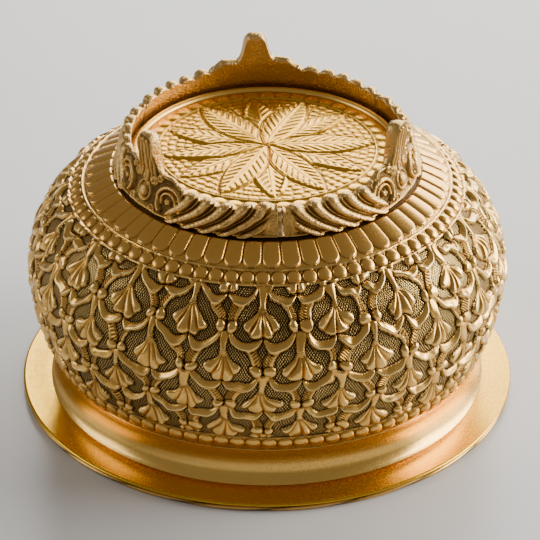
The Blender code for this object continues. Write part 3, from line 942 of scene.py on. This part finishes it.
def upper_edge(t, azimuth, wave):
    """Height of the cast edge at t degrees from the foot, in rim radii: lobes, a shoulder, the foot."""
    at = np.abs(t)
    lobe = np.abs(np.cos(math.pi * (at - FIRST_LOBE) / LOBE)) ** 0.8
    lobe = np.where(at < 19.0, 0.9, lobe)
    edge = 1.106 + 0.018 * lobe + REAR_RISE * np.sin(np.radians(azimuth + t)) + wave
    edge = edge + 0.022 * (1 - smooth(13.5, 18.5, at))
    rise = np.interp(at, [0, 1.5, 2.9, 3.9, 4.6, 5.3, 6.1, 7.0, 8.2],
                     [1, 0.995, 0.95, 0.86, 0.71, 0.50, 0.26, 0.09, 0])
    return edge + (FOOT_TOP - edge) * rise


def swirl_face(t, q):
    """Relief of the outer face in mm, and its recess, t degrees from the foot and q of the way up."""
    at = np.abs(t)
    high = np.zeros(t.shape)
    dark = np.full(t.shape, 0.85)
    mm = 1.03                          # millimetres to a degree
    face = 15.3                        # millimetres from base to edge
    sweep, curve = 15.5, 2.1           # how far a lobe leans at the base, in degrees, and how fast

    def add(depth, dome, lift, soften=0.45):
        """Raise one shape over what is there, and clear the tarnish from it."""
        top = smooth(-0.1, soften, depth)
        np.copyto(high, np.maximum(high, top * lift * dome))
        np.copyto(dark, dark * (1 - 0.92 * top * np.clip(dome, 0, 1) ** 0.9))

    # swirling lobes with a thin rib between
    for k in range(-1, 6):
        for offset, half, lift, q_top in ((0.0, 2.55, 2.45, 1.30), (LOBE * 0.50, 0.60, 0.95, 0.80)):
            centre = FIRST_LOBE + LOBE * k + offset - sweep * np.clip(1 - q, 0, 1) ** curve
            # the lobe is broad at the edge and narrows to the fillet
            width = half * (0.50 + 0.58 * np.clip(q, 0, 1.1))
            lean = sweep * curve * np.clip(1 - q, 0, 1) ** 1.1 * mm / face
            d = np.abs(at - centre) * mm / np.sqrt(1 + lean ** 2)
            live = smooth(19.5, 22.5, at + 8.0 * np.clip(1 - q, 0, 1)) * (q < q_top)
            live = live * (1 - smooth(55.5, 57.0, at))
            depth = width - d
            add(np.where(live > 0.5, depth, -1.0), np.clip(1 - (d / width) ** 2, 0, 1) ** 0.55, lift)
    # scroll group each side of the foot: two arches over a small rosette
    cx, cq = 13.8, 0.46
    dx, dy = (at - cx) * mm, (q - cq) * face
    rho, phi = np.hypot(dx, dy), np.degrees(np.arctan2(dy, -dx))
    arches = ((6.1, 1.15, 1.9, -55.0, 205.0), (3.75, 0.85, 1.5, -30.0, 200.0))
    for radius, half, lift, low_phi, high_phi in arches:
        shifted = (phi + 90.0) % 360.0 - 90.0
        centre = radius * (1.0 - 0.10 * np.cos(np.radians(shifted)))
        d = np.abs(rho - centre)
        live = (shifted > low_phi) & (shifted < high_phi)
        add(np.where(live, half - d, -1.0), np.clip(1 - (d / half) ** 2, 0, 1) ** 0.5, lift)
    d = rho / (1.75 * (1 + 0.16 * np.cos(np.radians(5 * phi))))
    add((1 - d) * 1.7, np.clip(1 - d ** 2, 0, 1) ** 0.5 * (0.62 + 0.38 * smooth(0.15, 0.5, rho)), 1.6)
    # leaf bud under the rosette
    d = np.hypot((at - 15.5) * mm / 2.6, (q - 0.13) * face / 1.7)
    add((1 - d) * 1.8, np.clip(1 - d ** 2, 0, 1) ** 0.5, 1.5)
    # oval cabochon in its bezel, straight under the foot
    d = np.hypot(t * mm / 2.9, (q - 0.45) * face / 3.2)
    add((1 - d) * 2.8, np.clip(1 - d ** 2, 0, 1) ** 0.5, 2.2)
    d2 = np.abs(d - 1.33) * 2.9
    add(0.55 - d2, np.clip(1 - (d2 / 0.6) ** 2, 0, 1) ** 0.5, 1.0, 0.25)
    # curled leaves between the cabochon and the scrolls
    for cx, cq, radius, half in ((5.6, 0.86, 1.55, 0.62), (6.4, 0.12, 1.3, 0.55), (8.6, 0.99, 1.2, 0.5)):
        rho = np.hypot((at - cx) * mm, (q - cq) * face)
        d = np.abs(rho - radius)
        add(half - d, np.clip(1 - (d / half) ** 2, 0, 1) ** 0.5, 1.25, 0.25)
        add(0.5 - rho, np.ones(t.shape), 1.2, 0.25)
    # ribs running up the foot
    for x0, half in ((0.0, 1.15), (2.35, 0.85), (4.6, 0.9)):
        d = np.abs(at - x0 - 1.4 * np.clip(1.5 - q, 0, 1)) * mm
        live = (q > 0.78) & (q < 2.05)
        add(np.where(live, half - d, -1.0), np.clip(1 - (d / half) ** 2, 0, 1) ** 0.6, 1.15)
    # rolled fillet along the base, and the smooth web at the joint
    d = np.abs(q - 0.035) * face
    add(0.62 - d, np.clip(1 - (d / 0.65) ** 2, 0, 1) ** 0.5, 1.35, 0.25)
    web = smooth(55.5, 58.0, at + 3.5 * (1 - q)) * (q > 0.07)
    np.copyto(high, high * (1 - web) + web * (0.75 + 0.5 * np.sin(math.pi * np.clip(q, 0, 1))))
    np.copyto(dark, dark * (1 - 0.7 * web))
    return high, dark


cast_brass = grained("cast_brass", brass_colour=(0.72, 0.44, 0.125, 1.0),
                     tarnish=(0.045, 0.026, 0.010, 1.0), bright=(0.92, 0.66, 0.31, 1.0), gloss=0.27,
                     mottle=90.0, recess_gain=0.95, fineness=950.0, grain=0.75, distance=0.0006)
T_STEPS, FACE_ROWS, TOP_ROWS, BACK_ROWS = 460, 64, 9, 34
for key, azimuth, seed in (("rear", 95.0, 3), ("left", 215.0, 4), ("right", 335.0, 5)):
    lump = np.random.default_rng(seed)
    t = np.linspace(-HALF, HALF, T_STEPS)
    wave = sum(lump.normal(0, 0.0022) * np.sin(n * np.radians(t) * 3 + lump.uniform(0, 6))
               for n in range(1, 7))
    edge = upper_edge(t, azimuth, wave)
    q_edge = (edge - EDGE_ROUND - BASE_Q[1]) / (EDGE_Q[1] - BASE_Q[1])
    u = np.linspace(0.0, 1.0, FACE_ROWS)
    Tq, Uq = np.meshgrid(t, u, indexing="ij")
    q = Uq * q_edge[:, None]
    high, dark = swirl_face(Tq, q)
    q_in = np.clip(q, 0, 1)
    radius = BASE_Q[0] + (EDGE_Q[0] - BASE_Q[0]) * q_in ** 0.85 + 0.016 * np.clip(q - 1.0, 0, 1.3)
    height = BASE_Q[1] + (EDGE_Q[1] - BASE_Q[1]) * q
    lumps = sum(lump.normal(0, 0.085) * np.sin(n * np.radians(Tq) * 11 + m * q * 5 + lump.uniform(0, 6))
                for n in range(1, 5) for m in range(1, 4))
    round_over = 1 - smooth(0.93, 1.0, Uq) * 0.35
    outer_r = radius * R + (high - 1.1 + lumps * 0.6) * 0.001 * round_over
    rubbed = 0.55 * np.clip(high / 2.2 - 0.35, 0, 1) * (1 - dark)
    back_top = np.full(t.shape, EDGE_Q[0] * R - CAST_WALL)
    rows_r, rows_z, rows_d, rows_w = [], [], [], []
    for k in range(1, TOP_ROWS + 1):
        f = k / (TOP_ROWS + 1)
        rows_r.append(outer_r[:, -1] + (back_top - outer_r[:, -1]) * f)
        rows_z.append(height[:, -1] * R + EDGE_ROUND * R * math.sin(math.pi * f) ** 0.7)
        rows_d.append(np.full(t.shape, 0.12))
        rows_w.append(np.full(t.shape, 0.35))
    in_low, in_high = (BASE_Q[0] - 0.0365) * R, EDGE_Q[0] * R - CAST_WALL
    for k in range(BACK_ROWS):
        f = k / (BACK_ROWS - 1)
        z = height[:, -1] * R * (1 - f) + (BASE_Q[1] * R + 0.0010) * f
        up = np.clip((z / R - BASE_Q[1]) / (EDGE_Q[1] - BASE_Q[1]), 0.0, 1.25)
        thicker = 0.0006 * np.clip((5.0 - np.abs(t)) / 5.0, 0, 1) * np.clip(up - 0.9, 0, 1)
        rows_r.append(in_low + (in_high - in_low) * up - thicker)
        rows_z.append(z)
        rows_d.append(np.full(t.shape, 0.06 + 0.28 * f ** 4))
        rows_w.append(np.full(t.shape, 1.0))
    all_r = np.concatenate([outer_r, np.array(rows_r).T], axis=1)
    all_z = np.concatenate([height * R, np.array(rows_z).T], axis=1)
    all_d = np.concatenate([dark, np.array(rows_d).T], axis=1)
    all_w = np.concatenate([rubbed, np.array(rows_w).T], axis=1)
    turn = np.radians(azimuth + t)[:, None]
    place = np.stack([all_r * np.cos(turn), all_r * np.sin(turn), all_z], axis=2)
    segment = rolled("foot_ring_" + key, place, {"recess": all_d, "worn": all_w})
    segment.data.materials.append(cast_brass)
    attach(segment, "root")
    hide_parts("foot_segment_" + key)

# ---- Solder seams where the cast segments meet ----
# Grey soft solder run into each joint and wiped back with a file, a little proud of the casting.
solder = grained("grey_solder", brass_colour=(0.56, 0.38, 0.16, 1.0), tarnish=(0.10, 0.070, 0.03, 1.0),
                 bright=(0.74, 0.54, 0.27, 1.0), gloss=0.40, mottle=120.0, recess_gain=0.6,
                 fineness=900.0, grain=0.5, distance=0.0003)
for label, azimuth in (("front", 275.0), ("rear_left", 155.0), ("rear_right", 35.0)):
    lump = np.random.default_rng(int(azimuth))
    bpy.ops.object.select_all(action="DESELECT")
    bpy.ops.mesh.primitive_uv_sphere_add(segments=28, ring_count=40, radius=1.0)
    seam = bpy.context.object
    seam.name = "solder_seam_" + label
    co = np.empty(len(seam.data.vertices) * 3, dtype=np.float32)
    seam.data.vertices.foreach_get("co", co)
    co = co.reshape(-1, 3)
    edge = 1.100 + REAR_RISE * math.sin(math.radians(azimuth))
    f = (co[:, 2] + 1) / 2
    squared = np.sign(co[:, 2]) * (1 - (1 - np.abs(co[:, 2])) ** 1.6)
    z = (BASE_Q[1] + (edge - BASE_Q[1]) * (squared + 1) / 2) * R
    mid = (BASE_Q[0] + (EDGE_Q[0] - BASE_Q[0]) * f) * R - 0.0014
    sag = 1 + 0.14 * np.sin(9 * f + lump.uniform(0, 6)) + 0.10 * np.sin(21 * f + lump.uniform(0, 6))
    body = np.clip(1 - co[:, 2] ** 2, 0, 1) ** -0.5
    flat = np.minimum(body, 6.0) * (1 - np.abs(co[:, 2]) ** 10)
    rad = mid + co[:, 0] * flat * 0.0021 * sag
    tan = co[:, 1] * flat * 0.00175 * sag
    az = math.radians(azimuth) + tan / rad
    co[:, 0], co[:, 1], co[:, 2] = rad * np.cos(az), rad * np.sin(az), z
    seam.data.vertices.foreach_set("co", co.ravel())
    for mark_name, value in (("recess", 0.25), ("worn", 0.35)):
        mark = seam.data.attributes.new(mark_name, "FLOAT", "POINT")
        mark.data.foreach_set("value", np.full(len(seam.data.vertices), value, dtype=np.float32))
    only(seam)
    bpy.ops.object.mode_set(mode="EDIT")
    bpy.ops.mesh.select_all(action="SELECT")
    bpy.ops.mesh.normals_make_consistent(inside=False)
    bpy.ops.object.mode_set(mode="OBJECT")
    bpy.ops.object.shade_smooth()
    seam.data.materials.append(solder)
    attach(seam, "root")
    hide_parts("solder_joint_" + label)
